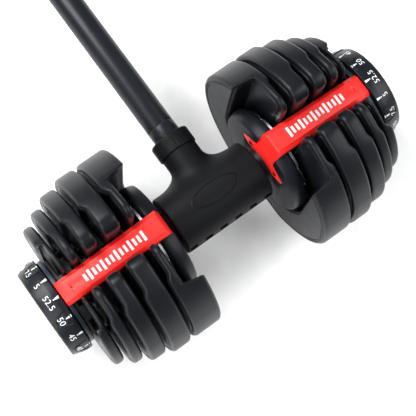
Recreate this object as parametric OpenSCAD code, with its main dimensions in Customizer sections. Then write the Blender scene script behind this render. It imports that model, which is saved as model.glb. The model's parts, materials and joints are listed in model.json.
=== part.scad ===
// Adjustable dumbbell with a clamp-on connecting rod.
// The handle runs along X, the rod along +Y and the plates stand on their flats at Z = 0.
// Both heads are the same build, one turned half round the vertical from the other.

/* [Overall] */
// Length over both dials
overall_length = 400; // [380:1:440]
// Radius of the largest weight plate
head_r = 101; // [92:1:115]
// Share of a plate's radius kept below its centre, where the flat foot is cut
foot_share = 0.891; // [0.86:0.005:0.93]
// Distance from the handle's centre line to the rod's free end
rod_reach = 400; // [300:5:700]

/* [Handle] */
// Radius of the steel bar
bar_r = 10.5; // [9:0.5:11]
// Radius of the hand grip
grip_r = 17; // [15:0.5:18]
// Half of the grip's length
grip_half = 51.9; // [45:0.1:56]
// Radius of the guard at each end of the grip
hub_r = 58; // [54:0.5:62]
// Depth of the guard along the bar
hub_depth = 22.4; // [21:0.1:24]

/* [Weight plates] */
// Thickness of each plate, from the guard outwards
plate_w = [32, 22, 17.5, 12, 11];
// Radius of each plate as a share of the largest one
plate_share = [1, 1, 0.95, 0.871, 0.782];
// Gap between neighbouring plates
plate_gap = 3.8; // [3:0.1:5]
// Gap between the guard's inner rim and the face of the first plate
first_plate_gap = 11; // [10:0.1:13]
// Rounding of a plate's rim
rim_round = 5; // [3:0.5:5.5]
// Clearance beside the selector tube in each plate's slot
slot_clear = 1; // [1:0.1:2.4]
// Size of the corner taken off each of the two horns beside the slot
horn_corner = 6; // [4:0.5:9]
// Depth of the selector pocket in each plate's outward face
outer_pocket = [3.6, 3.4, 3, 2.6, 6.8];
// Depth of the hollow in each plate's inward face, which clears the guard or the disc before it
inner_pocket = [20.6, 4, 3, 2.4, 1.2];
// Thickness of the moulded skin over the iron core
skin = 2.2; // [1.6:0.1:2.6]

/* [Selector] */
// Radius of a selector disc
disc_r = 43; // [38:0.5:44]
// Thickness of a selector disc's web
disc_web = 2.6; // [2:0.1:3]
// Radial thickness of the lifting flange
flange_t = 3.5; // [3:0.1:4.5]
// Running clearance between turning and fixed pieces
run_gap = 0.4; // [0.3:0.05:0.6]
// Wall of the keyed tube that turns the discs
tube_wall = 2.8; // [2.4:0.1:3.2]
// Depth of the two key flats on the tube
key_depth = 1.4; // [1:0.1:1.8]
// Radius of the index disc
index_r = 52.5; // [50:0.5:53]
// Thickness of the index disc
index_t = 2.4; // [2:0.1:3]
// Radius of the lock pin
pin_r = 2.3; // [2:0.1:2.6]
// Travel of the lock pin
pin_travel = 3.6; // [3.5:0.1:4]

/* [Dial] */
// Width of the dial
dial_w = 20.8; // [18:0.1:24]
// Dial radius at its inner edge
dial_r = 50.2; // [47:0.1:53]
// Dial radius at its outer edge
dial_end_r = 45; // [42:0.1:47]
// Thickness of the fixed plate behind the dial
end_plate_w = 4.6; // [4:0.1:6]
// Radius of the fixed plate behind the dial
end_plate_r = 46; // [44:0.5:48]

/* [Bridge] */
// Half-width of the bridge at its outer end
bridge_end_half = 12.5; // [10:0.1:13]
// Half-width of the bridge at the guard
bridge_hub_half = 13.3; // [11:0.1:13.8]
// Thickness of the bridge's top
bridge_t = 3; // [2.5:0.1:3.4]
// Height of the bridge above the bar's centre at its bend over the guard
bridge_bend_z = 64.6; // [64:0.1:67]
// Height of the bridge where it dips to its outer end
bridge_knee_z = 52.4; // [52:0.1:54]
// Height of the bridge at its outer end
bridge_end_z = 48.7; // [48.2:0.1:49.6]
// Depth of the bridge's side skirts
bridge_skirt = 10; // [8:0.1:10.4]

/* [Clamp and rod] */
// Outer radius of the clamp's sleeve
sleeve_r = 31.6; // [29:0.1:34]
// Half of the sleeve's length
sleeve_half = 51.5; // [44:0.1:51.5]
// Thickness of the rubber liner
liner_t = 2.2; // [1.5:0.1:3]
// How far the neck stands out beyond the spigot
neck_step = 2.1; // [1.5:0.1:3]
// How far the neck flares out along the sleeve
flare_reach = 24.5; // [14:0.5:27]
// Height of the flare
flare_height = 20; // [14:0.5:22]
// Distance from the bar's centre line to the collar
neck_end = 57; // [54:0.5:62]
// Wall of the collar nut round the spigot
collar_wall = 3.7; // [3.3:0.1:5]
// Width of the collar nut
collar_w = 17.3; // [15:0.1:20]
// How far the threaded spigot under the collar stands out beyond the rod
spigot_step = 2.8; // [2.4:0.1:3.4]
// Outer radius of the connecting rod
rod_r = 14.6; // [13.6:0.1:14.8]
// Wall of the connecting rod
rod_wall = 2; // [1.5:0.1:3]
// Thread radius of the socket in the rod's free end
socket_r = 7; // [5:0.5:9]
// Depth of the socket
socket_depth = 30; // [20:1:40]

/* [Hidden] */
$fn = 96;
eps = 0.01;
big = 400;

SETTINGS = 15;
PLATES = 5;
step = 360 / SETTINGS;
// Which plates each setting lifts, inner plate first, from the lightest setting to the heaviest
lifts = [
    [0, 0, 0, 0, 0], [0, 0, 0, 0, 1], [0, 0, 0, 1, 0], [0, 0, 0, 1, 1], [0, 0, 1, 0, 0],
    [0, 0, 1, 0, 1], [0, 0, 1, 1, 0], [0, 0, 1, 1, 1], [0, 1, 0, 1, 0], [0, 1, 1, 0, 0],
    [0, 1, 1, 1, 0], [1, 1, 0, 1, 0], [1, 1, 1, 0, 0], [1, 1, 1, 1, 0], [1, 1, 1, 1, 1]
];

half_length = overall_length / 2;
dial_in = half_length - dial_w;
end_plate_out = dial_in - 0.8;
end_plate_in = end_plate_out - end_plate_w;
hub_in = grip_half;
hub_out = hub_in + hub_depth;
hub_ridge = hub_in + 13;
face_x = hub_in + 6.7;
boss_r = grip_r + 4;
first_plate_in = hub_in + first_plate_gap;

// Where the inner face of plate k stands along the bar
function plate_in(k) = k == 1 ? first_plate_in : plate_in(k - 1) + plate_w[k - 2] + plate_gap;
function plate_out(k) = plate_in(k) + plate_w[k - 1];
function plate_r(k) = head_r * plate_share[k - 1];
function pocket_floor(k) = plate_out(k) - outer_pocket[k - 1];
function hollow_floor(k) = plate_in(k) + inner_pocket[k - 1];

index_in = hub_out + 1.3;
index_out = index_in + index_t;
guard_pocket_half = hub_r + 2;
pocket_half = disc_r + 2;

flange_in_r = disc_r - flange_t;
lug_out_r = flange_in_r - run_gap - 0.1;
lug_in_r = lug_out_r - 8;
lug_half = 5.5;
flange_w = 3.8;

pin_end = index_in - 0.8;
pin_place_r = index_r - pin_r - 0.2;
pin_back = hub_in + 10;
collar_x = pin_back + 6;

tube_bore = bar_r + run_gap - 0.1;
tube_r = tube_bore + tube_wall;
tube_flat = tube_r - key_depth;
slot_half = tube_r + slot_clear;
tube_end = dial_in + 8;
bar_end = dial_in + 11;

grip_gap = 0.35;
liner_in_r = grip_r + grip_gap;
liner_out_r = liner_in_r + liner_t;

spigot_r = rod_r + spigot_step;
neck_r = spigot_r + neck_step;
collar_r = spigot_r + collar_wall;
spigot_end = neck_end + 14;
collar_in = neck_end + 0.3;
collar_out = collar_in + collar_w;
ferrule_end = collar_out + 13.6;
ferrule_flange_in = 38;
ferrule_flange_out = 42;
ferrule_start = 34;
rod_bore = rod_r - rod_wall;
socket_flange = 3;

home = [0, -(rod_reach - head_r) / 2, head_r * foot_share];

// ---------- shared shapes ----------

module right_side() translate(home) children();
module left_side() translate(home) rotate([0, 0, 180]) children();
module on_clamp() translate(home) children();

// Turns a solid built round Z into one round X, or round Y
module round_x() rotate([0, 90, 0]) children();
module round_y() rotate([-90, 0, 0]) children();

// A disc or ring along X between two stations
module ring_x(x0, x1, outer, inner = 0) {
    translate([x0, 0, 0]) round_x()
    difference() {
        cylinder(r = outer, h = x1 - x0);
        if (inner > 0) translate([0, 0, -1]) cylinder(r = inner, h = x1 - x0 + 2);
    }
}

// A disc or ring along Y between two stations
module ring_y(y0, y1, outer, inner = 0) {
    translate([0, y0, 0]) round_y()
    difference() {
        cylinder(r = outer, h = y1 - y0);
        if (inner > 0) translate([0, 0, -1]) cylinder(r = inner, h = y1 - y0 + 2);
    }
}

// An outline drawn in Y and Z, drawn out along X between two stations
module along_x(x0, x1) translate([x0, 0, 0]) rotate([90, 0, 90]) linear_extrude(x1 - x0) children();

// A U-shaped hollow round the bar, open at the top
module u_hollow(x0, x1, half) {
    ring_x(x0, x1, half);
    translate([x0, -half, 0]) cube([x1 - x0, 2 * half, big]);
}

// The keyed section shared by the tube and everything on it
module key_section(x0, x1, grow = 0) {
    intersection() {
        ring_x(x0, x1, tube_r + grow);
        translate([x0, -tube_flat - grow, -big / 2]) cube([x1 - x0, 2 * (tube_flat + grow), big]);
    }
}

// A sector of one setting, measured from the top, for cutting rings
module sector(x0, x1, angle, half) {
    reach = big / 4;
    along_x(x0, x1) polygon([
        [0, 0],
        [-reach * sin(angle - half), reach * cos(angle - half)],
        [-reach * sin(angle + half), reach * cos(angle + half)]
    ]);
}

// Angle from the top at which a setting stands when all plates are chosen
function setting_angle(i) = (i - (SETTINGS - 1)) * step;

// ---------- handle ----------

module handle_bar() {
    color("silver") difference() {
        ring_x(-bar_end, bar_end, bar_r);
        for (s = [-1, 1]) translate([s > 0 ? bar_end - 26 : -bar_end - 1, 0, 0])
            round_x() cylinder(r = 4, h = 27);
    }
}

module hand_grip() color("#202226") ring_x(-grip_half, grip_half, grip_r, bar_r);

// ---------- guard and lock ----------

// Profile of the guard as radius and station: a boss round the grip's end, then a flat face
module guard_body() {
    round_x() rotate_extrude() polygon([
        [bar_r, hub_in], [boss_r, hub_in], [boss_r, face_x], [hub_r - 5.5, face_x],
        [hub_r - 3, face_x + 0.9], [hub_r - 1.6, face_x + 3.4], [hub_r - 1, hub_ridge],
        [hub_r, hub_ridge + 2.6], [hub_r, hub_out - 2], [hub_r - 1.6, hub_out],
        [hub_r - 14, hub_out], [hub_r - 14, hub_ridge], [tube_r + 6, hub_ridge],
        [tube_r + 6, hub_out], [bar_r, hub_out]
    ]);
}

module guard() {
    color("#2a2c31") difference() {
        union() {
            guard_body();
            for (s = [-1, 1]) translate([hub_ridge - 1, s * ear_screw_y, ear_screw_z])
                round_x() cylinder(r = 3.6, h = 6);
        }
        // seat of the bridge, over the rim and down the face, open in front of its neck
        bridge_envelope();
        neck_opening();
        // bore, collar room and lever slot of the lock pin
        translate([pin_back, 0, -pin_place_r]) round_x() cylinder(r = pin_r + 0.3, h = big);
        translate([pin_back, 0, -pin_place_r]) round_x() cylinder(r = 4.2, h = 12.5);
        translate([collar_x - 0.6, -2.4, -hub_r - 5])
            cube([pin_travel + 3.4, 4.8, hub_r + 5 - pin_place_r]);
        for (s = [-1, 1]) translate([face_x, s * ear_screw_y, ear_screw_z])
            round_x() cylinder(r = 1.6, h = 11);
    }
}

// Lock pin drawn back from the index disc, as in its cradle, with the lever that the cradle pushes
module lock_pin() {
    color("gainsboro") {
        translate([pin_back + 1, 0, -pin_place_r]) round_x()
            cylinder(r = pin_r, h = pin_end - pin_back - 1);
        translate([collar_x, 0, -pin_place_r]) round_x() cylinder(r = 3.8, h = 1.6);
        translate([collar_x, -2, -hub_r - 1]) cube([1.6, 4, hub_r + 1 - pin_place_r]);
    }
}

// One coil spring round the back of the pin
module lock_spring() {
    turns = 5;
    wire = 0.45;
    coil_r = 3.3;
    sides = 6;
    per_turn = 16;
    length = collar_x - pin_back - 2 * wire - 0.1;
    rings = [for (i = [0 : turns * per_turn])
        let (a = i * 360 / per_turn, h = pin_back + wire + 0.05 + length * i / (turns * per_turn))
        [for (j = [0 : sides - 1])
            let (b = j * 360 / sides, r = coil_r + wire * cos(b))
            [h + wire * sin(b), r * cos(a), r * sin(a) - pin_place_r]]];
    last = len(rings) - 1;
    points = [for (ring = rings) for (p = ring) p];
    sides_faces = [for (i = [0 : last - 1]) for (j = [0 : sides - 1])
        [i * sides + j, i * sides + (j + 1) % sides, (i + 1) * sides + (j + 1) % sides,
         (i + 1) * sides + j]];
    start_cap = [[for (j = [sides - 1 : -1 : 0]) j]];
    end_cap = [[for (j = [0 : sides - 1]) last * sides + j]];
    color("silver") polyhedron(points, concat(sides_faces, start_cap, end_cap), convexity = 6);
}

// ---------- bridge ----------

ear_t = 3;
ear_screw_y = 19.3;
ear_screw_z = 23.5;
neck_z = 40.5;
bend_x = hub_ridge + 0.1;
bridge_end = end_plate_out - 0.4;
knee_x = bridge_end - 8;
block_x = end_plate_in - 15.8;
seat_z = end_plate_r - 0.9;
block_z = max(seat_z, disc_r + 1.2);

// Height of the bridge's top along its long slope
slope = (bridge_knee_z - bridge_bend_z) / (knee_x - bend_x);
function bridge_top(x) = bridge_bend_z + slope * (x - bend_x);

// Side view: up the guard's face, round the bend, down the long slope and on to the end plate
module bridge_side() {
    polygon([
        [face_x, 0], [face_x, neck_z], [bend_x - 1.6, bridge_bend_z - 5],
        [bend_x - 0.6, bridge_bend_z - 2], [bend_x + 0.8, bridge_bend_z - 0.5],
        [bend_x + 2.4, bridge_top(bend_x + 2.4)], [knee_x, bridge_knee_z],
        [bridge_end, bridge_end_z], [bridge_end, seat_z], [end_plate_in - 0.6, seat_z],
        [end_plate_in - 0.6, block_z], [block_x, block_z],
        [block_x, bridge_top(block_x) - bridge_skirt],
        [bend_x + 3.4, bridge_bend_z - bridge_skirt], [face_x + ear_t, neck_z],
        [face_x + ear_t, 0]
    ]);
}

// The space in front of the neck, which the guard leaves free
module neck_opening() {
    intersection() {
        translate([0, big / 2, 0]) rotate([90, 0, 0]) linear_extrude(big) polygon([
            [face_x - 1, neck_z], [face_x, neck_z], [bend_x - 1.6, bridge_bend_z - 5],
            [bend_x - 1.6, big / 4], [face_x - 1, big / 4]
        ]);
        translate([0, -bridge_hub_half, 0]) cube([big, 2 * bridge_hub_half, big / 4]);
    }
}

// Front view: the neck, and two ears that reach round the guard's boss
module bridge_front() {
    half = [
        [bridge_hub_half, big / 4], [bridge_hub_half, neck_z + 3], [12.9, neck_z],
        [14, neck_z - 1.6], [22, 32.4], [29.4, 27.2], [31, 25], [29.6, 21],
        [23, 17], [15.6, 14]
    ];
    difference() {
        polygon(concat(half, [for (i = [len(half) - 1 : -1 : 0]) [-half[i][0], half[i][1]]]));
        circle(r = boss_r + 0.6);
    }
}

// Plan view: tapering from the guard to the end plate
module bridge_plan() {
    wide = 40;
    polygon([
        [0, -wide], [bend_x - 2, -wide], [bend_x - 2, -bridge_hub_half],
        [bridge_end, -bridge_end_half], [bridge_end, bridge_end_half],
        [bend_x - 2, bridge_hub_half], [bend_x - 2, wide], [0, wide]
    ]);
}

// A roof with a flat ridge that runs through a point of the side view at a slope
module bridge_roof(x, z, angle) {
    translate([x, 0, z]) rotate([0, angle, 0]) along_x(-big / 2, big / 2) polygon([
        [-45, -big / 4], [-45, -33], [-9, 0], [9, 0], [45, -33], [45, -big / 4]
    ]);
}

module bridge_envelope() {
    intersection() {
        translate([0, big / 2, 0]) rotate([90, 0, 0]) linear_extrude(big) bridge_side();
        along_x(0, big) bridge_front();
        translate([0, 0, -big / 2]) linear_extrude(big) bridge_plan();
        bridge_roof(bend_x, bridge_bend_z, -atan(slope));
        bridge_roof(knee_x, bridge_knee_z, atan((bridge_knee_z - bridge_end_z) / 8));
    }
}

module bridge() {
    channel_half = bridge_end_half - 2.4;
    channel_x = bend_x + 5;
    color("#ff3b38") difference() {
        bridge_envelope();
        // the underside is a channel between the skirts
        translate([0, channel_half, 0]) rotate([90, 0, 0]) linear_extrude(2 * channel_half)
            polygon([
                [channel_x, 0], [channel_x, bridge_top(channel_x) - bridge_t - 1],
                [channel_x + 1, bridge_top(channel_x + 1) - bridge_t],
                [block_x, bridge_top(block_x) - bridge_t], [block_x, 0]
            ]);
        for (s = [-1, 1]) translate([face_x, s * ear_screw_y, ear_screw_z]) round_x() {
            translate([0, 0, -1]) cylinder(r = 1.6, h = ear_t + 2);
            translate([0, 0, -1]) cylinder(r = 3, h = 2.4);
        }
        translate([end_screw_x, 0, block_z + 1]) cylinder(r = 1.5, h = big / 4);
    }
}

end_screw_x = end_plate_out - 13.2;

module bridge_screws() {
    top = bridge_top(end_screw_x);
    color("#303236") {
        for (s = [-1, 1]) translate([face_x, s * ear_screw_y, ear_screw_z]) round_x() {
            translate([0, 0, 0.5]) cylinder(r = 1.6, h = 9.5);
            translate([0, 0, 0.3]) cylinder(r = 2.8, h = 1.1);
        }
        translate([end_screw_x, 0, block_z + 1]) cylinder(r = 1.5, h = top - block_z - 1.2);
    }
}

// ---------- fixed plate behind the dial ----------

stop_half = 5;
stop_in_r = 30;
stop_out_r = 38;
stop_reach = 3.4;

// A block for the dial's stop, centred at an angle from the top
module stop_block(x0, x1, angle, half) {
    intersection() {
        ring_x(x0, x1, stop_out_r, stop_in_r);
        sector(x0 - 1, x1 + 1, angle, half);
    }
}

module end_plate() {
    color("#33363d") difference() {
        union() {
            ring_x(end_plate_in, end_plate_out, end_plate_r);
            stop_block(end_plate_out - 1, end_plate_out + stop_reach, 0, stop_half);
        }
        ring_x(end_plate_in - 1, end_plate_out + stop_reach + 1, tube_r + run_gap);
        translate([end_plate_in - 1, -big / 2, seat_z]) cube([end_plate_w + 2, big, big]);
    }
}

// ---------- weight plates ----------

// A rounded disc along X
module rounded_disc(x0, x1, r, rnd) {
    translate([x0, 0, 0]) round_x() rotate_extrude($fn = 144) union() {
        square([r - rnd, x1 - x0]);
        translate([0, rnd]) square([r, x1 - x0 - 2 * rnd]);
        intersection() {
            union() for (h = [rnd, x1 - x0 - rnd]) translate([r - rnd, h]) circle(r = rnd, $fn = 48);
            translate([0, 0]) square([r, x1 - x0]);
        }
    }
}

// The outer form of plate k, grown inwards by inset for its core
module plate_form(k, inset) {
    x0 = plate_in(k) + inset;
    x1 = plate_out(k) - inset;
    r = plate_r(k) - inset * 1.6;
    difference() {
        rounded_disc(x0, x1, r, max(rim_round - inset, 1));
        translate([x0 - 1, -big / 2, -big - r * foot_share + (inset > 0 ? 0.6 : 0)])
            cube([x1 - x0 + 2, big, big]);
        u_hollow(x0 - 1, x1 + 1, slot_half + inset);
        u_hollow(pocket_floor(k) - inset, x1 + 1, pocket_half + inset);
        u_hollow(x0 - 1, hollow_floor(k) + inset, (k == 1 ? guard_pocket_half : pocket_half) + inset);
        for (s = [0, 1]) mirror([0, s, 0])
            horn_cut(x0 - 1, x1 + 1, r, slot_half + inset, horn_corner);
    }
}

// Takes the corner off a horn in two flats, where the slot meets a rim of radius r
module horn_cut(x0, x1, r, half, size) {
    h = sqrt(r * r - (half + size) * (half + size));
    along_x(x0, x1) polygon([
        [half - 1, r * 1.2], [half - 1, h - size], [half, h - size],
        [half + 0.3 * size, h - 0.3 * size], [half + 1.3 * size, h + 0.4 * size],
        [half + 1.3 * size, r * 1.2]
    ]);
}

module lug(k) {
    translate([pocket_floor(k) - 1, -lug_half, -lug_out_r])
        cube([flange_w + 1, 2 * lug_half, lug_out_r - lug_in_r]);
}

module weight_plate(k) {
    color("#3a3d44") difference() {
        union() {
            plate_form(k, 0);
            lug(k);
        }
        iron_core(k);
    }
}

module iron_core(k) color("dimgray") plate_form(k, skin);

module iron_cores() for (k = [1 : PLATES]) iron_core(k);

// ---------- selector ----------

module index_disc() {
    color("gainsboro") difference() {
        ring_x(index_in, index_out, index_r);
        key_section(index_in - 1, index_out + 1);
        for (i = [0 : SETTINGS - 1]) rotate([setting_angle(i) + 180, 0, 0])
            translate([index_in - 1, 0, pin_place_r]) {
                round_x() cylinder(r = pin_r + 0.4, h = index_t + 2, $fn = 32);
                translate([0, -pin_r - 0.4, 0]) cube([index_t + 2, 2 * pin_r + 0.8, 10]);
            }
    }
}

module selector_tube() {
    color("silver") difference() {
        key_section(index_in, tube_end);
        ring_x(index_in - 1, tube_end + 1, tube_bore);
    }
}

// Disc k carries a flange under the lug of plate k at each setting that lifts it
module selector(k) {
    flange_in = pocket_floor(k) + run_gap;
    web_in = flange_in + flange_w;
    web_out = web_in + disc_web;
    color("#4a4d56") difference() {
        union() {
            ring_x(web_in, web_out, disc_r);
            ring_x(flange_in, web_in + eps, tube_r + 3);
            difference() {
                ring_x(flange_in, web_in + eps, disc_r, flange_in_r);
                for (i = [0 : SETTINGS - 1]) if (!lifts[i][k - 1])
                    sector(flange_in - 1, web_in, setting_angle(i) + 180, step / 2 + 0.3);
            }
        }
        key_section(flange_in - 1, web_out + 1);
    }
}

// ---------- dial ----------

module dial() {
    round_r = 3;
    wall = 4;
    recess_r = 16.2;
    color("#303238") difference() {
        union() {
            difference() {
                round_x() rotate_extrude($fn = 120) polygon([
                    [0, dial_in], [dial_r - 1, dial_in], [dial_r, dial_in + 1],
                    [dial_r + 0.3, dial_in + dial_w * 0.3], [dial_r - 1, dial_in + dial_w * 0.55],
                    [dial_end_r + 2.2, dial_in + dial_w * 0.8],
                    [dial_end_r, half_length - round_r * 0.6],
                    [dial_end_r - round_r, half_length], [0, half_length]
                ]);
                ring_x(dial_in - 1, half_length - wall, dial_end_r - wall);
            }
            ring_x(dial_in + 0.4, half_length - 1, recess_r + 4);
            stop_block(dial_in + 0.2, half_length - 1, step / 2, stop_half);
        }
        key_section(dial_in - 1, tube_end);
        ring_x(dial_in - 1, half_length, tube_bore);
        ring_x(bar_end - 0.4, half_length + 1, recess_r);
    }
}

module dial_cap() color("#26282c") ring_x(half_length - 2.4, half_length - 0.6, 16.2);

module dial_bolt() {
    color("gainsboro") {
        ring_x(bar_end, bar_end + 1.6, 13.5);
        translate([bar_end + 1.6, 0, 0]) round_x() cylinder(r = 7, h = 4.4, $fn = 6);
        ring_x(bar_end - 25, bar_end + 2, 4);
    }
}

// ---------- clamp and rod ----------

// The tee: a round sleeve with a neck that flares into it
module tee_form() {
    intersection() {
        union() {
            round_y() rotate_extrude() polygon(concat(
                [[0, 0], [neck_r + flare_reach, 0]],
                [for (a = [0 : 10 : 90])
                    [neck_r + flare_reach * (1 - sin(a)), neck_end - 5 - flare_height * cos(a)]],
                [[neck_r, neck_end], [0, neck_end]]));
            ring_x(-sleeve_half, sleeve_half, sleeve_r);
        }
        union() {
            ring_x(-big / 4, big / 4, sleeve_r);
            translate([-big / 4, 0, -neck_r]) cube([big / 2, neck_end, 2 * neck_r]);
        }
    }
}

module clamp_form() {
    window = [8.5, 4, 6];
    window_pitch = (2 * sleeve_half - 13) / 5;
    difference() {
        union() {
            tee_form();
            ring_y(neck_end - 1, spigot_end, spigot_r);
        }
        ring_x(-big / 2, big / 2, liner_out_r);
        ring_y(ferrule_start, spigot_end + 1, rod_bore - 0.6);
        ring_y(ferrule_flange_in, ferrule_flange_out, rod_r + 1);
        for (i = [0 : 5])
            translate([(i - 2.5) * window_pitch - window[0] / 2, -sleeve_r - 1, 0.6]) cube(window);
        // shallow oval badge seat on top
        translate([0, 0, sleeve_r - 0.6]) linear_extrude(big / 10) union() {
            square([30, 20], center = true);
            for (s = [-1, 1]) translate([s * 15, 0]) circle(r = 10);
        }
    }
}

module clamp_upper_shell() color("#26272b") intersection() {
    clamp_form();
    translate([-big / 2, -big / 2, 0]) cube(big);
}

module clamp_lower_shell() color("#222327") intersection() {
    clamp_form();
    translate([-big / 2, -big / 2, -big]) cube(big);
}

module clamp_liner(top) color("#101012") intersection() {
    ring_x(-sleeve_half + 1, sleeve_half - 1, liner_out_r, liner_in_r);
    translate([-big / 2, -big / 2, top ? 0 : -big]) cube(big);
}

module rod_ferrule() {
    color("#33363d") difference() {
        union() {
            ring_y(ferrule_start, ferrule_end + 26, rod_bore - 0.6);
            ring_y(ferrule_flange_in, ferrule_flange_out, rod_r + 1);
            ring_y(spigot_end, ferrule_end, rod_r);
            ring_y(ferrule_end + 2, ferrule_end + 26, rod_bore);
        }
        ring_y(ferrule_start - 1, ferrule_end + 30, 6);
    }
}

module rod_seal_ring() color("#0c0c0e") ring_y(ferrule_end, ferrule_end + 0.8, rod_r - 0.3, rod_bore - 0.6);

module rod_tube() color("#33363d") ring_y(ferrule_end + 0.8, rod_reach - socket_flange, rod_r, rod_bore);

module rod_end_socket() {
    color("silver") difference() {
        union() {
            ring_y(rod_reach - socket_depth - 12, rod_reach - socket_flange, rod_bore);
            ring_y(rod_reach - socket_flange, rod_reach, rod_r);
        }
        ring_y(rod_reach - socket_depth, rod_reach + 1, socket_r);
    }
}

ring_seat = 3.1;

module collar_slip_ring() {
    color("#d8d8d8") ring_y(collar_out - ring_seat + 0.3, collar_out - 0.3,
                            spigot_r + 1.4, rod_r + run_gap);
}

// Knurled collar nut: screws onto the split spigot and pulls both shells together
module collar_nut() {
    flutes = 24;
    color("#2c2e33") difference() {
        round_y() rotate_extrude() polygon([
            [0, collar_in], [collar_r, collar_in], [collar_r, collar_out - 2.5],
            [collar_r - 2, collar_out], [0, collar_out]
        ]);
        ring_y(collar_in - 1, collar_out + 1, spigot_r + run_gap);
        ring_y(collar_out - ring_seat, collar_out + 1, spigot_r + 1.4 + run_gap);
        for (i = [0 : flutes - 1]) rotate([0, i * 360 / flutes, 0])
            translate([collar_r + 0.7, collar_in + 3, 0]) round_y()
                cylinder(r = 1.2, h = collar_w - 6, $fn = 16);
    }
}

on_clamp() handle_bar();
on_clamp() hand_grip();
left_side() guard();  // left_guard
right_side() guard();  // right_guard
left_side() lock_pin();  // left_lock_pin
right_side() lock_pin();  // right_lock_pin
left_side() lock_spring();  // left_lock_spring
right_side() lock_spring();  // right_lock_spring
left_side() bridge();  // left_bridge
right_side() bridge();  // right_bridge
left_side() bridge_screws();  // left_bridge_screws
right_side() bridge_screws();  // right_bridge_screws
left_side() end_plate();  // left_end_plate
right_side() end_plate();  // right_end_plate
for (k = [1 : PLATES]) {
    left_side() weight_plate(k);
    right_side() weight_plate(k);
    left_side() selector(k);
    right_side() selector(k);
}
left_side() iron_cores();  // left_iron_cores
right_side() iron_cores();  // right_iron_cores
left_side() index_disc();  // left_index_disc
right_side() index_disc();  // right_index_disc
left_side() selector_tube();  // left_selector_tube
right_side() selector_tube();  // right_selector_tube
left_side() dial();  // left_dial
right_side() dial();  // right_dial
left_side() dial_cap();  // left_dial_cap
right_side() dial_cap();  // right_dial_cap
left_side() dial_bolt();  // left_dial_bolt
right_side() dial_bolt();  // right_dial_bolt
on_clamp() clamp_upper_shell();
on_clamp() clamp_lower_shell();
on_clamp() clamp_liner(true);  // clamp_upper_liner
on_clamp() clamp_liner(false);  // clamp_lower_liner
on_clamp() rod_ferrule();
on_clamp() rod_seal_ring();
on_clamp() rod_tube();
on_clamp() rod_end_socket();
on_clamp() collar_slip_ring();
on_clamp() collar_nut();
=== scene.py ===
"""Adjustable dumbbell with a clamp-on connecting rod.

Sizes are in handle millimetres: X along the bar, Y along the rod, Z up, from the bar's centre.
Every shape is drawn for the right head. The left head is the same shape turned half round.
"""
import json
import math

import bmesh
import bpy
from mathutils import Matrix, Vector


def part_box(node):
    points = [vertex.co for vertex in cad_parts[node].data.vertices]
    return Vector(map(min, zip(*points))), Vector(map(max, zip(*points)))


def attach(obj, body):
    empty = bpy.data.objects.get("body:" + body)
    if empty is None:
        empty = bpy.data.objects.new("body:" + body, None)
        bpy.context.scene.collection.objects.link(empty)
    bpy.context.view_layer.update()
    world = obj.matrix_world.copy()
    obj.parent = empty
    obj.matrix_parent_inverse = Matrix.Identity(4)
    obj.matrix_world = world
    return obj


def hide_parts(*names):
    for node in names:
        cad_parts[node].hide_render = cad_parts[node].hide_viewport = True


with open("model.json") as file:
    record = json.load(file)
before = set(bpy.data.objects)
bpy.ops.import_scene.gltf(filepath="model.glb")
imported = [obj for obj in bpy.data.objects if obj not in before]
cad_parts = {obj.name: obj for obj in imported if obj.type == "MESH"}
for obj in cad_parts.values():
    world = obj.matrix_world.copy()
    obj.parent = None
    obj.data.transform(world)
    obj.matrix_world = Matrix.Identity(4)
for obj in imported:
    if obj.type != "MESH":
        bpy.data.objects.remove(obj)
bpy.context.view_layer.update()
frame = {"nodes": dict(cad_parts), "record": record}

MM = 0.001
low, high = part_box("handle_bar")
AXIS_Y = (low[1] + high[1]) / 2
AXIS_Z = (low[2] + high[2]) / 2
SIDES = ("left", "right")
TAU = 2 * math.pi

# weight plates, inner one first: (inner face, outer face, radius, inward hollow, outward pocket)
PLATES = [
    (62.9, 94.9, 101.0, 20.6, 3.6),
    (98.7, 120.7, 101.0, 4.0, 3.4),
    (124.5, 142.0, 95.95, 3.0, 3.0),
    (145.8, 157.8, 87.97, 2.4, 2.6),
    (161.6, 172.6, 78.98, 1.2, 6.8),
]
FOOT_SHARE = 0.891
SLOT_HALF = 14.6
LOADS = ["5", "7.5", "10", "12.5", "15", "17.5", "20", "22.5", "25", "30", "35", "40", "45",
         "50", "52.5"]
STEP = TAU / len(LOADS)
DIAL_R = 49.0
BRIDGE_SLOPE = 0.1162
EAR_SCREW_Y, EAR_SCREW_Z = 19.3, 23.5
PIP_X = 164.4
SLEEVE_R = 31.6
SLEEVE_HALF = 51.5
COLLAR_R = 21.1
ROD_R = 14.6
TUBE_BORE_R = 12.6


# ---------------------------------------------------------------- materials


def colour(code):
    """An sRGB hex colour as linear RGBA."""
    parts = [int(code[i:i + 2], 16) / 255 for i in (1, 3, 5)]
    return (*(c / 12.92 if c < 0.04045 else ((c + 0.055) / 1.055) ** 2.4 for c in parts), 1)


def add(tree, kind, links=None, **settings):
    """Adds a node; links maps its inputs to (node, output), settings are inputs or attributes."""
    node = tree.nodes.new("ShaderNode" + kind)
    for key, value in settings.items():
        name = key.replace("_", " ")
        if name in node.inputs:
            node.inputs[name].default_value = value
        else:
            setattr(node, key, value)
    for key, (source, output) in (links or {}).items():
        tree.links.new(source.outputs[output], node.inputs[key])
    return node


def new_material(name):
    made = bpy.data.materials.new(name)
    made.use_nodes = True
    made.node_tree.nodes.clear()
    return made, made.node_tree


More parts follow.
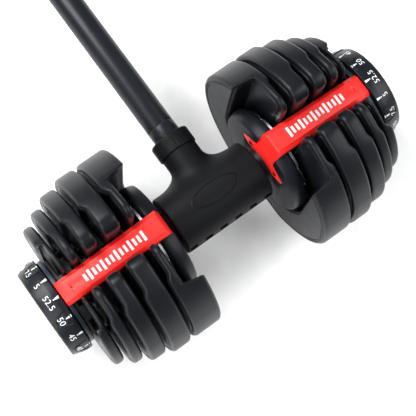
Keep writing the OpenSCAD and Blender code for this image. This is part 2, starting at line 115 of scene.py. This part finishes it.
def grained(name, shade, rough, grain_mm, depth, worn=0.12, **surface):
    """A moulded or coated surface: fine grain in its relief, and a faint cloud in its gloss."""
    made, tree = new_material(name)
    spot = add(tree, "TexCoord")
    grain = add(tree, "TexNoise", {"Vector": (spot, "Object")}, Scale=1 / (grain_mm * MM),
                Detail=3.0, Roughness=0.6)
    cloud = add(tree, "TexNoise", {"Vector": (spot, "Object")}, Scale=1 / (28 * MM), Detail=4.0)
    bumps = add(tree, "Bump", {"Height": (grain, "Fac")}, Strength=depth, Distance=0.2 * MM)
    gloss = add(tree, "MapRange", {"Value": (cloud, "Fac")}, To_Min=rough - worn / 2,
                To_Max=rough + worn / 2)
    tint = add(tree, "Mix", {"Factor": (cloud, "Fac")}, data_type="RGBA")
    for socket, share in ((6, 0.88), (7, 1.12)):
        tint.inputs[socket].default_value = (*(min(c * share, 1) for c in colour(shade)[:3]), 1)
    shader = add(tree, "BsdfPrincipled",
                 {"Roughness": (gloss, "Result"), "Normal": (bumps, "Normal"),
                  "Base Color": (tint, 2)}, **surface)
    add(tree, "OutputMaterial", {"Surface": (shader, "BSDF")})
    return made


def turned(name, shade, rough, line_mm):
    """Machined or stamped steel: fine lines round the bar's axis, bright with a soft edge."""
    made, tree = new_material(name)
    spot = add(tree, "TexCoord")
    shift = add(tree, "Mapping", {"Vector": (spot, "Object")}, Location=(0, -AXIS_Y, -AXIS_Z))
    lines = add(tree, "TexWave", {"Vector": (shift, "Vector")}, wave_type="RINGS",
                rings_direction="X", Scale=1 / (line_mm * MM) / 6, Distortion=1.5, Detail=2.0)
    bumps = add(tree, "Bump", {"Height": (lines, "Fac")}, Strength=0.25, Distance=0.1 * MM)
    shader = add(tree, "BsdfPrincipled", {"Normal": (bumps, "Normal")}, Metallic=1.0,
                 Roughness=rough, Base_Color=colour(shade))
    add(tree, "OutputMaterial", {"Surface": (shader, "BSDF")})
    return made


def build_materials():
    return {
        # soft-touch moulded ABS over iron: near black, with a wide blue-grey sheen
        "plate_skin": grained("soft_touch_moulded_abs", "#0f1116", 0.36, 0.7, 0.22,
                               Specular_IOR_Level=0.19),
        # sand-cast grey iron, sealed inside the plates' skins
        "iron_core": grained("sand_cast_iron", "#5b5c5e", 0.6, 1.2, 0.7, Metallic=0.9),
        # zinc-plated steel, stamped or turned: bright, cool and slightly brushed
        "bright_steel": turned("zinc_plated_steel", "#c9ccd0", 0.26, 0.5),
        # the same moulded ABS with a bluer pigment behind the dial
        "end_plate": grained("slate_moulded_abs", "#1a2431", 0.4, 0.6, 0.2, Specular_IOR_Level=0.4),
        # polished-tool moulded nylon: darker and a little glossier than the plates
        "guard_plastic": grained("satin_moulded_nylon", "#101218", 0.38, 0.6, 0.16,
                                  Specular_IOR_Level=0.16),
        # black-oxide steel screws: dark, with a dull metal glint
        "dark_screw": grained("black_oxide_steel", "#1d1e20", 0.38, 0.5, 0.15, Metallic=0.8),
        # red moulded nylon: saturated, with a soft satin highlight
        "red_bridge": grained("red_moulded_nylon", "#f5241f", 0.4, 0.8, 0.1, worn=0.06),
        # glass-filled nylon discs inside the head
        "selector_plastic": grained("glass_filled_nylon", "#101114", 0.5, 0.5, 0.25,
                                     Specular_IOR_Level=0.3),
        # dial in moulded ABS with an even spark-eroded grain
        "dial_plastic": grained("grained_moulded_abs", "#11141a", 0.34, 0.5, 0.2,
                                 Specular_IOR_Level=0.24),
        # the same ABS with a finer and rougher grain
        "dial_cap": grained("fine_textured_abs", "#101114", 0.5, 0.35, 0.35,
                            Specular_IOR_Level=0.3),
        # moulded rubber grip and liners: matte, with no clear highlight
        "grip_rubber": grained("moulded_rubber", "#151618", 0.72, 0.9, 0.4),
        "liner_rubber": grained("matt_black_rubber", "#0e0f10", 0.78, 0.8, 0.4),
        # spark-eroded nylon: a very even matt black
        "clamp_plastic": grained("matt_textured_nylon", "#0e0f12", 0.5, 0.45, 0.3, worn=0.06,
                                  Specular_IOR_Level=0.11),
        # acetal ring: opaque milky white, slightly waxy
        "slip_ring": grained("white_acetal", "#d9d9d4", 0.34, 0.6, 0.08),
        # powder coat on steel tube: slight orange peel under a satin gloss
        "rod_paint": grained("satin_powder_coat", "#13161c", 0.32, 1.4, 0.25,
                             Specular_IOR_Level=0.24),
        # painted studio board under the object
        "white_floor": grained("white_studio_board", "#f4f5f6", 0.8, 2.0, 0.02, worn=0.02),
        # pad-printed white ink: flat and opaque
        "white_print": grained("white_pad_print", "#e9f1f4", 0.5, 0.4, 0.08, worn=0.04),
    }


MATERIALS = build_materials()


# ---------------------------------------------------------------- shaping helpers


def box_bm(centre, size):
    bm = bmesh.new()
    spot = Matrix.Translation(centre) @ Matrix.Diagonal((*size, 1))
    bmesh.ops.create_cube(bm, size=1, matrix=spot)
    return bm


def join_into(target, source):
    """Moves everything of one drawing into another."""
    mesh = bpy.data.meshes.new("carrier")
    source.to_mesh(mesh)
    source.free()
    target.from_mesh(mesh)
    bpy.data.meshes.remove(mesh)


def rounded_corners(points, radius, segments=4):
    """A polyline with each inner corner replaced by an arc, as far as its legs allow."""
    path = [Vector(p) for p in points]
    out = [path[0]]
    for before, corner, after in zip(path, path[1:], path[2:]):
        a, b = (before - corner), (after - corner)
        turn = a.angle(b)
        if turn > math.radians(172) or min(a.length, b.length) < 1e-6:
            out.append(corner)
            continue
        reach = min(radius / math.tan(turn / 2), 0.48 * a.length, 0.48 * b.length)
        start, end = corner + a.normalized() * reach, corner + b.normalized() * reach
        for i in range(segments + 1):
            t = i / segments
            out.append(start * (1 - t) ** 2 + corner * 2 * t * (1 - t) + end * t ** 2)
    out.append(path[-1])
    return [tuple(p) for p in out]


def lathe(bm, profile, axis="X", steps=96):
    """Spins a profile of (station, radius) round the bar's axis, or round the rod's with axis Y."""
    along = Vector((1, 0, 0)) if axis == "X" else Vector((0, 1, 0))
    verts = [bm.verts.new(along * s + Vector((0, 0, r))) for s, r in profile]
    edges = [bm.edges.new(pair) for pair in zip(verts, verts[1:])]
    bmesh.ops.spin(bm, geom=verts + edges, cent=(0, 0, 0), axis=along, angle=TAU, steps=steps,
                   use_merge=True)
    bmesh.ops.remove_doubles(bm, verts=bm.verts, dist=1e-4)


def relief(outline, centre, rings):
    """A low relief: the outline comes again at each (scale, height) and closes at the centre."""
    bm = bmesh.new()
    cx, cy = centre
    loops = [[bm.verts.new((cx + (x - cx) * scale, cy + (y - cy) * scale, height))
              for x, y in outline] for scale, height in rings]
    for outer, inner in zip(loops, loops[1:]):
        for a, b, c, d in zip(outer, outer[1:] + outer[:1], inner[1:] + inner[:1], inner):
            bm.faces.new((a, b, c, d))
    hub = bm.verts.new((*centre, rings[-1][1]))
    for a, b in zip(loops[-1], loops[-1][1:] + loops[-1][:1]):
        bm.faces.new((a, b, hub))
    bm.faces.new(loops[0])
    return bm


def finished(bm, name, body, slot, material, stands_for, sharp):
    """Makes a mesh in the row frame into a piece of the object."""
    mesh = bpy.data.meshes.new(name)
    bm.to_mesh(mesh)
    bm.free()
    mesh.shade_smooth()
    mesh.set_sharp_from_angle(angle=math.radians(sharp))
    mesh.materials.append(MATERIALS[material or slot])
    piece = bpy.data.objects.new(name, mesh)
    bpy.context.scene.collection.objects.link(piece)
    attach(piece, body)
    if stands_for:
        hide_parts(*stands_for)
    return piece


def place(bm, name, body, slot, material=None, stands_for=(), side="right", sharp=35):
    """Turns a drawing in handle millimetres into a finished piece in the row frame."""
    bmesh.ops.remove_doubles(bm, verts=bm.verts, dist=1e-4)
    bmesh.ops.recalc_face_normals(bm, faces=bm.faces)
    turn = Matrix.Rotation(math.pi if side == "left" else 0, 4, "Z")
    move = Matrix.Translation((0, AXIS_Y, AXIS_Z)) @ turn @ Matrix.Scale(MM, 4)
    bmesh.ops.transform(bm, matrix=move, verts=bm.verts)
    return finished(bm, name, body, slot, material, stands_for, sharp)


def on_both(draw, name, body, slot, material=None, stands_for=(), sharp=35):
    """Places one drawing on each head; {side} in a name stands for left or right."""
    for side in SIDES:
        nodes = [n.format(side=side) for n in stands_for]
        place(draw(), f"{side}_{name}", body.format(side=side), slot, material, nodes, side, sharp)


def refined(node, width, name, body, slot):
    """A CAD node's shape with its edges rounded, as a mould leaves them."""
    bm = bmesh.new()
    bm.from_mesh(frame["nodes"][node].data)
    bmesh.ops.remove_doubles(bm, verts=bm.verts, dist=2e-6)
    bmesh.ops.dissolve_limit(bm, angle_limit=math.radians(0.6), verts=bm.verts, edges=bm.edges)
    edges = [e for e in bm.edges if e.is_manifold and e.calc_face_angle(0) > math.radians(24)]
    bmesh.ops.bevel(bm, geom=edges, offset=width * MM, offset_type="OFFSET", segments=2,
                    profile=0.5, affect="EDGES", clamp_overlap=True, material=-1)
    return finished(bm, name, body, slot, None, [node], 32)


# ---------------------------------------------------------------- weight plates


# how far in from an edge the mesh has a line, and the rounding and groove that it draws there
EDGE_LEVELS = (0, 0.15, 0.5, 1.1, 1.9, 2.9, 3.9, 4.3, 4.5, 5.2, 5.4, 6.3, 6.5, 7.2, 7.4)
EDGE_ROUND = 4.0
HORN_ROUND = 12.0


def smooth(value, start, width):
    t = min(max((value - start) / width, 0), 1)
    return t * t * (3 - 2 * t)


def edge_drop(depth, room):
    """How far a face falls back at a distance from its edge: a rounding, then a fine groove."""
    if depth < EDGE_ROUND:
        share = 1 - depth / EDGE_ROUND
        return min(EDGE_ROUND, room) * (1 - math.sqrt(1 - share * share))
    return 0.6 if 4.4 < depth < 5.3 or 6.4 < depth < 7.3 else 0.0


def horn_centre(radius):
    """Centre of the rounding where the slot's wall meets the rim."""
    y = SLOT_HALF + HORN_ROUND
    return y, math.sqrt((radius - HORN_ROUND) ** 2 - y ** 2)


def plate_rows(radius, foot, levels):
    """Points of one face of a slotted disc, row by row round the slot from horn to horn."""
    horn_y, horn_z = horn_centre(radius)

    def leg_top(y, depth):
        if y < horn_y * (radius - depth) / (radius - HORN_ROUND):
            return horn_z + math.sqrt(max((HORN_ROUND - depth) ** 2 - (y - horn_y) ** 2, 0))
        return math.sqrt(max((radius - depth) ** 2 - y * y, 0))

    rows = [[(y, leg_top(y, depth)) for y in levels] for depth in EDGE_LEVELS]
    rows += [[(y, z * (1 - i / 14)) for y, z in rows[len(EDGE_LEVELS) - 1]] for i in range(1, 15)]
    for i in range(1, 27):
        turn = -math.pi / 2 * i / 26
        reach = min(radius, foot / abs(math.sin(turn)))
        share = (reach - SLOT_HALF) / (radius - SLOT_HALF)
        spots = [SLOT_HALF + (y - SLOT_HALF) * share for y in levels]
        rows.append([(r * math.cos(turn), r * math.sin(turn)) for r in spots])
    return rows + [[(-y, z) for y, z in row] for row in reversed(rows[:-1])]


def edge_depth(y, z, radius, foot):
    """Distance to the nearest edge of the slotted disc's outline."""
    horn_y, horn_z = horn_centre(radius)
    if z > horn_z and abs(y) * horn_z < horn_y * z:
        return max(HORN_ROUND - math.hypot(abs(y) - horn_y, z - horn_z), 0)
    from_slot = (abs(y) if z > 0 else math.hypot(y, z)) - SLOT_HALF
    return max(min(radius - math.hypot(y, z), from_slot, z + foot), 0)


def draw_plate(number):
    """A slotted plate: a pocket on its outward face runs out to the rim in a soft S."""
    inner, outer, radius, hollow, pocket = PLATES[number - 1]
    foot = radius * FOOT_SHARE
    levels = [SLOT_HALF + depth for depth in EDGE_LEVELS] + [24.5, 28.5, 32.5, 36.5, 40.5]
    levels += [43.5 + i for i in range(12)]
    if number == 1:
        levels += [57.5 + 0.5 * i for i in range(15)]
    start, end = levels[-1], radius - EDGE_LEVELS[-1]
    levels += [start + (end - start) * i / 5 for i in range(1, 5)]
    levels += [radius - depth for depth in reversed(EDGE_LEVELS)]
    rows = plate_rows(radius, foot, levels)

    def faces_at(y, z):
        from_slot = abs(y) if z > 0 else math.hypot(y, z)
        front = outer - pocket * (1 - smooth(from_slot, 44, 9))
        if number == 1:
            back = inner + hollow * (1 - smooth(from_slot, 58.5, 5.5))
        else:
            back = inner + hollow * (1 - smooth(math.hypot(y, z), 46, 7))
        drop = edge_drop(edge_depth(y, z, radius, foot), 0.46 * (front - back))
        return front - drop, back + drop

    bm = bmesh.new()
    verts = {}
    for row in rows:
        for y, z in row:
            key = (round(y, 3), round(z, 3))
            if key not in verts:
                verts[key] = [bm.verts.new((x, *key)) for x in faces_at(*key)]
    done = set()
    for row, below in zip(rows, rows[1:]):
        for spots in zip(row, row[1:], below[1:], below):
            keys = list(dict.fromkeys((round(y, 3), round(z, 3)) for y, z in spots))
            if len(keys) > 2 and frozenset(keys) not in done:
                done.add(frozenset(keys))
                bm.faces.new([verts[k][0] for k in keys])
                bm.faces.new([verts[k][1] for k in reversed(keys)])
    partner = {front: back for front, back in verts.values()}
    for edge in [e for e in bm.edges if e.is_boundary and e.verts[0] in partner]:
        a, b = edge.verts
        bm.faces.new((a, b, partner[b], partner[a]))
    return bm


for number in range(1, len(PLATES) + 1):
    on_both(lambda: draw_plate(number), f"weight_plate_{number}", "dumbbell", "plate_skin",
            stands_for=["{side}_plate_" + str(number)])


# ---------------------------------------------------------------- bridge, guard, end plate


for side in SIDES:
    refined(f"{side}_bridge", 0.7, f"{side}_bridge_strap", "dumbbell", "red_bridge")
    refined(f"{side}_guard", 0.7, f"{side}_guard_shell", "dumbbell", "guard_plastic")
    refined(f"{side}_end_plate", 0.5, f"{side}_end_disc", "dumbbell", "end_plate")


def bridge_top(x):
    """Height of the bridge's top at a station along the bar."""
    return 64.6 - BRIDGE_SLOPE * (x - 65)


def draw_bars():
    """A plain printed scale on the bridge's top, long and short bars in turn."""
    whole = bmesh.new()
    tilt = Matrix.Rotation(math.atan(BRIDGE_SLOPE), 4, "Y")
    for i in range(14):
        x = 85.5 + i * 5.0
        depth = 10.4 if i % 3 == 0 else 7.2
        bar = bmesh.new()
        spot = Matrix.Translation((x, 0.6, bridge_top(x))) @ tilt
        bmesh.ops.create_cube(bar, size=1, matrix=spot @ Matrix.Diagonal((2.6, depth, 0.3, 1)))
        join_into(whole, bar)
    return whole


def draw_ear_screws():
    """Two button heads with round sockets in the ears of the bridge's foot."""
    whole = bmesh.new()
    outline = [(math.cos(TAU * i / 36), math.sin(TAU * i / 36)) for i in range(36)]
    for y in (-EAR_SCREW_Y, EAR_SCREW_Y):
        screw = relief(outline, (0, 0), [(2.8, -0.6), (2.8, 0), (2.6, 0.4), (2.1, 0.7), (1.4, 0.8),
                                         (1.3, 0.1), (0.5, 0.1)])
        turn = Matrix.Rotation(-math.pi / 2, 4, "Y")
        spot = Matrix.Translation((59, y, EAR_SCREW_Z))
        bmesh.ops.transform(screw, matrix=spot @ turn, verts=screw.verts)
        join_into(whole, screw)
    return whole


def draw_end_pip():
    """The low moulded pip near the bridge's outer end."""
    bm = bmesh.new()
    spot = Vector((PIP_X, 0, bridge_top(PIP_X)))
    lathe(bm, [(-1.2, 0), (-1.2, 1.3), (0.05, 1.3), (0.25, 1.15), (0.3, 0.8), (0.3, 0)], steps=32)
    turn = Matrix.Rotation(-math.pi / 2 + math.atan(BRIDGE_SLOPE), 4, "Y")
    bmesh.ops.transform(bm, matrix=Matrix.Translation(spot) @ turn, verts=bm.verts)
    return bm


# ---------------------------------------------------------------- dials


DIAL = [(179.2, 12), (179.2, 49.4), (180.0, 50.2), (185.4, 50.4), (190.6, 49.4), (195.8, 48.0),
        (199.1, 46.9), (200, 45.7), (200, 41.0), (198.9, 39.0), (198.6, 17.6), (197.6, 16.4),
        (197.6, 12)]


def dial_radius(x):
    """Radius of the dial's rim at a station along the bar."""
    rim = DIAL[1:8]
    for (a, ra), (b, rb) in zip(rim, rim[1:]):
        if a <= x <= b:
            return ra + (rb - ra) * (x - a) / (b - a)
    return rim[-1][1]


def wrap_on_dial(bm, angle, lift):
    """Bends a flat drawing, Y round the rim, X along the bar and Z out, on to the dial's rim."""
    for v in bm.verts:
        x, turn = v.co.x, angle + v.co.y / DIAL_R
        r = dial_radius(x) + v.co.z + lift
        v.co = Vector((x, r * math.sin(turn), r * math.cos(turn)))


def draw_dial():
    bm = bmesh.new()
    lathe(bm, rounded_corners(DIAL + DIAL[:1], 0.9, 3), steps=120)
    return bm


def label_angle(index):
    """The heaviest load stands on top; lighter ones follow towards +Y on the right head."""
    return (len(LOADS) - 1 - index) * STEP


def draw_pad():
    """A dished D with a raised lip, flat side towards the plates, as the finger grips are."""
    flat = [(181.6, -8.4 + 2.1 * i) for i in range(8)]
    bow = [(181.6 + 15.2 * math.sin(a), 8.4 * math.cos(a)) for a in
           (math.pi * i / 28 for i in range(28))]
    return relief(flat + bow, (188, 0), [
        (1, -0.6), (1, 0.45), (0.97, 0.85), (0.93, 0.95), (0.88, 0.85), (0.84, 0.35), (0.78, 0.25),
        (0.6, 0.25), (0.45, 0.25), (0.3, 0.25), (0.15, 0.25)])


def text_mesh(words, size):
    """Plain numerals as a flat mesh, centred, with their tops along Y."""
    curve = bpy.data.curves.new("numeral", "FONT")
    curve.body = words
    curve.size = size
    curve.offset = -0.008 * size
    curve.align_x = "CENTER"
    curve.space_character = 1.06
    holder = bpy.data.objects.new("numeral", curve)
    bpy.context.scene.collection.objects.link(holder)
    bpy.context.view_layer.update()
    graph = bpy.context.evaluated_depsgraph_get()
    mesh = bpy.data.meshes.new_from_object(holder.evaluated_get(graph))
    bm = bmesh.new()
    bm.from_mesh(mesh)
    bpy.data.objects.remove(holder)
    bpy.data.curves.remove(curve)
    bpy.data.meshes.remove(mesh)
    return bm


def thicken(bm, depth):
    """Raises flat print into a low solid that starts just under the surface."""
    top = bmesh.ops.extrude_face_region(bm, geom=bm.faces[:], use_keep_orig=True)["geom"]
    raised = [g for g in top if isinstance(g, bmesh.types.BMVert)]
    bmesh.ops.translate(bm, vec=(0, 0, depth), verts=raised)


def on_pad(index):
    return index % 2 == 1


def draw_pads():
    whole = bmesh.new()
    for index in range(len(LOADS)):
        if on_pad(index):
            pad = draw_pad()
            wrap_on_dial(pad, label_angle(index), 0)
            join_into(whole, pad)
    return whole


def draw_numbers():
    """Load numbers with their tops towards the plates, each with a wedge that points at it."""
    whole = bmesh.new()
    for index, load in enumerate(LOADS):
        lift = 0.28 if on_pad(index) else 0.0
        number = text_mesh(load, 8.2)
        # the numeral's X runs round the rim and its Y towards the plates
        for v in number.verts:
            v.co = Vector((194.0 - v.co.y, v.co.x, -0.3))
        thicken(number, 0.5)
        wrap_on_dial(number, label_angle(index), lift)
        join_into(whole, number)
        wedge = bmesh.new()
        corners = [(180.6, -1.25), (180.6, 1.25), (186.6, 0.45), (186.6, -0.45)]
        wedge.faces.new([wedge.verts.new((x, y, -0.3)) for x, y in corners])
        thicken(wedge, 0.5)
        wrap_on_dial(wedge, label_angle(index), lift)
        join_into(whole, wedge)
    return whole


def draw_cap():
    bm = bmesh.new()
    lathe(bm, rounded_corners([(197.2, 0), (197.2, 16.0), (199.0, 16.0), (199.0, 13.6),
                               (198.6, 13.2), (198.6, 10.4), (199.1, 10.0), (199.3, 0)], 0.5, 3))
    return bm


on_both(draw_bars, "bridge_bars", "dumbbell", "red_bridge", "white_print")
on_both(draw_ear_screws, "ear_screws", "dumbbell", "dark_screw",
        stands_for=["{side}_bridge_screws"])
on_both(draw_end_pip, "bridge_pip", "dumbbell", "red_bridge")
on_both(draw_dial, "dial_rim", "{side}_selector", "dial_plastic", stands_for=["{side}_dial"])
on_both(draw_pads, "dial_pads", "{side}_selector", "dial_plastic")
on_both(draw_numbers, "dial_numbers", "{side}_selector", "dial_plastic", "white_print")
on_both(draw_cap, "dial_end_cap", "{side}_selector", "dial_cap", stands_for=["{side}_dial_cap"])


# ---------------------------------------------------------------- clamp


def wrap_on_sleeve(bm, lift):
    """Bends a flat drawing, X along the bar, Y round it and Z out, on to the sleeve's top."""
    for v in bm.verts:
        r, turn = SLEEVE_R + v.co.z + lift, v.co.y / SLEEVE_R
        v.co = Vector((v.co.x, r * math.sin(turn), r * math.cos(turn)))


def draw_sleeve():
    bm = bmesh.new()
    h = SLEEVE_HALF
    profile = [(-h, 20), (-h, SLEEVE_R), (h, SLEEVE_R), (h, 20)]
    lathe(bm, rounded_corners(profile, 2.2, 5) + [(-h, 20)], steps=128)
    return bm


def draw_flare():
    """The neck: it leaves the collar straight and lands on the sleeve without a crease."""
    neck, top, reach_x, reach_z = 19.5, 57.0, 44.0, 27.8
    round_steps, down_steps = 96, 14
    bm = bmesh.new()
    rings = []
    for down in range(-1, down_steps + 1):
        ring = []
        for i in range(round_steps):
            turn = TAU * i / round_steps
            c, s = math.cos(turn), math.sin(turn)
            start = Vector((neck * c, 46, neck * s))
            land = Vector((reach_x * c, 0, reach_z * s))
            land.y = math.sqrt(SLEEVE_R ** 2 - land.z ** 2)
            way = Vector((c * reach_x, 0, s * reach_z)).normalized()
            way.y = -way.z * land.z / land.y
            way.normalize()
            p1 = start - Vector((0, (46 - land.y) * 0.62, 0))
            p2 = land - way * (land - start).length * 0.5
            t = max(down, 0) / down_steps
            point = (start * (1 - t) ** 3 + p1 * 3 * t * (1 - t) ** 2
                     + p2 * 3 * t * t * (1 - t) + land * t ** 3)
            if down < 0:
                point = Vector((neck * c, top, neck * s))
            ring.append(bm.verts.new(point))
        rings.append(ring)
    for upper, lower in zip(rings, rings[1:]):
        for i in range(round_steps):
            j = (i + 1) % round_steps
            bm.faces.new((upper[i], upper[j], lower[j], lower[i]))
    bm.faces.new(rings[0])
    bm.faces.new(rings[-1])
    return bm


def draw_badge():
    """An empty oval badge seat: a fine groove round a crowned field, bent over the sleeve."""
    outline = [(25.5 * math.cos(TAU * i / 96), 9.8 * math.sin(TAU * i / 96)) for i in range(96)]
    bm = relief(outline, (0, 0), [
        (1.12, -0.1), (1.06, 0.25), (1.01, 0.6), (1, 0.6), (0.995, 0.08), (0.965, 0.08),
        (0.96, 0.6), (0.9, 0.64), (0.75, 0.66), (0.6, 0.66), (0.45, 0.66), (0.3, 0.66),
        (0.15, 0.66)])
    wrap_on_sleeve(bm, -0.05)
    return bm


def cut_away(piece, cutter_bm):
    """Cuts a drawing in handle millimetres out of a placed piece."""
    move = Matrix.Translation((0, AXIS_Y, AXIS_Z)) @ Matrix.Scale(MM, 4)
    bmesh.ops.transform(cutter_bm, matrix=move, verts=cutter_bm.verts)
    mesh = bpy.data.meshes.new("cutter")
    cutter_bm.to_mesh(mesh)
    cutter_bm.free()
    cutter = bpy.data.objects.new("cutter", mesh)
    bpy.context.scene.collection.objects.link(cutter)
    modifier = piece.modifiers.new("cut", "BOOLEAN")
    modifier.operation, modifier.solver, modifier.object = "DIFFERENCE", "EXACT", cutter
    bpy.context.view_layer.update()
    graph = bpy.context.evaluated_depsgraph_get()
    result = bpy.data.meshes.new_from_object(piece.evaluated_get(graph))
    piece.modifiers.clear()
    piece.data = result
    bpy.data.objects.remove(cutter)
    bpy.data.meshes.remove(mesh)
    result.shade_smooth()
    result.set_sharp_from_angle(angle=math.radians(35))


def build_clamp():
    sleeve = place(draw_sleeve(), "clamp_sleeve", "rod_clamp", "clamp_plastic",
                   stands_for=["clamp_upper_shell", "clamp_lower_shell"])
    cuts = bmesh.new()
    # six snap windows, and the seam between the halves
    for i in range(6):
        join_into(cuts, box_bm(((i - 2.5) * 18, -SLEEVE_R, 6.2), (8.5, 7, 7.6)))
    for y in (-SLEEVE_R, SLEEVE_R):
        join_into(cuts, box_bm((0, y, 0), (2 * SLEEVE_HALF + 2, 1.6, 0.5)))
    cut_away(sleeve, cuts)
    place(draw_flare(), "clamp_neck", "rod_clamp", "clamp_plastic")
    place(draw_badge(), "clamp_badge_seat", "rod_clamp", "clamp_plastic")


build_clamp()


def draw_collar():
    """The nut: rounded shoulders and shallow flutes for the fingers."""
    profile = [(57.3, 17.6), (57.3, COLLAR_R), (60, COLLAR_R), (60.8, COLLAR_R), (70.2, COLLAR_R),
               (71, COLLAR_R), (74.6, COLLAR_R), (74.6, 17.6), (57.3, 17.6)]
    bm = bmesh.new()
    lathe(bm, rounded_corners(profile, 1.6, 4), "Y", 192)
    for v in bm.verts:
        if 60.5 < v.co.y < 70.5 and math.hypot(v.co.x, v.co.z) > 20:
            turn = math.atan2(v.co.z, v.co.x)
            groove = max(0.0, math.cos(16 * turn)) ** 6 * 0.4
            v.co.x -= math.cos(turn) * groove
            v.co.z -= math.sin(turn) * groove
    return bm


def draw_ferrule():
    """A plain sleeve with one fine groove, between the collar and the seal ring."""
    bm = bmesh.new()
    profile = [(71, 12), (71, ROD_R), (75.6, ROD_R), (76.1, 14.2), (76.8, 14.2), (77.3, ROD_R),
               (88.2, ROD_R), (88.2, 12), (71, 12)]
    lathe(bm, rounded_corners(profile, 0.4, 3), "Y")
    return bm


def draw_rod():
    bm = bmesh.new()
    profile = [(89, TUBE_BORE_R), (89, ROD_R), (397, ROD_R), (397, TUBE_BORE_R), (89, TUBE_BORE_R)]
    lathe(bm, rounded_corners(profile, 0.5, 3), "Y")
    return bm


def draw_socket():
    """Turned steel end with a threaded bore."""
    thread = []
    depth = 399.0
    while depth > 372:
        thread += [(depth, 7.0), (depth - 1, 7.9)]
        depth -= 2
    bm = bmesh.new()
    lathe(bm, [(397, 12.5), (397, 14.2), (397.4, ROD_R), (399.4, ROD_R), (400, 14.0), (400, 8.2)] +
          thread + [(370, 6.9), (370, 0), (367, 0), (367, 12.5), (397, 12.5)], "Y", 72)
    return bm


place(draw_collar(), "collar_shell", "collar", "clamp_plastic", stands_for=["collar_nut"])
place(draw_ferrule(), "ferrule_shell", "rod_clamp", "rod_paint", stands_for=["rod_ferrule"])
place(draw_rod(), "rod_shell", "rod_clamp", "rod_paint", stands_for=["rod_tube"])
place(draw_socket(), "rod_threaded_end", "rod_clamp", "bright_steel", stands_for=["rod_end_socket"])


# ---------------------------------------------------------------- CAD pieces that stay


for row in frame["record"]["subparts"]:
    kept = frame["nodes"][row["node"]]
    if not kept.hide_render:
        kept.data.materials.clear()
        kept.data.materials.append(MATERIALS[row["material_slot"]])


# ---------------------------------------------------------------- camera, light and floor


def add_camera():
    """The camera stands over the left end and looks down along the handle."""
    spot = Vector((-0.20887, AXIS_Y - 0.15228, AXIS_Z + 1.08570))
    right = Vector((0.805185, -0.589105, 0.068064))
    up = Vector((0.565455, 0.797267, 0.211247))
    back = Vector((-0.178712, -0.131606, 0.975060))
    data = bpy.data.cameras.new("camera")
    data.sensor_width = 36
    data.lens = 97.52
    data.clip_end = 10
    camera = bpy.data.objects.new("camera", data)
    turn = Matrix((right, up, back)).transposed()
    camera.matrix_world = Matrix.Translation(spot) @ turn.to_4x4()
    bpy.context.scene.collection.objects.link(camera)
    bpy.context.scene.camera = camera


def add_area(name, spot, target, size, power):
    data = bpy.data.lights.new(name, "AREA")
    data.size = size
    data.energy = power
    light = bpy.data.objects.new(name, data)
    light.location = spot
    light.rotation_euler = (Vector(target) - Vector(spot)).to_track_quat("-Z", "Y").to_euler()
    bpy.context.scene.collection.objects.link(light)


add_camera()
middle = (0, AXIS_Y, AXIS_Z)
add_area("key", (-0.55, 0.85, 1.35), middle, 1.0, 42)
add_area("side", (-1.2, -0.7, 1.2), middle, 1.4, 24)
add_area("fill", (1.1, -0.9, 1.3), middle, 1.4, 27)

world = bpy.data.worlds.new("studio")
world.use_nodes = True
world.node_tree.nodes["Background"].inputs["Color"].default_value = (1, 1, 1, 1)
world.node_tree.nodes["Background"].inputs["Strength"].default_value = 0.32
bpy.context.scene.world = world
bpy.context.scene.view_settings.view_transform = "Standard"

bpy.ops.mesh.primitive_plane_add(size=6, location=(0, 0, -0.0005))
floor = bpy.context.object
floor.name = "floor"
floor.data.materials.append(MATERIALS["white_floor"])
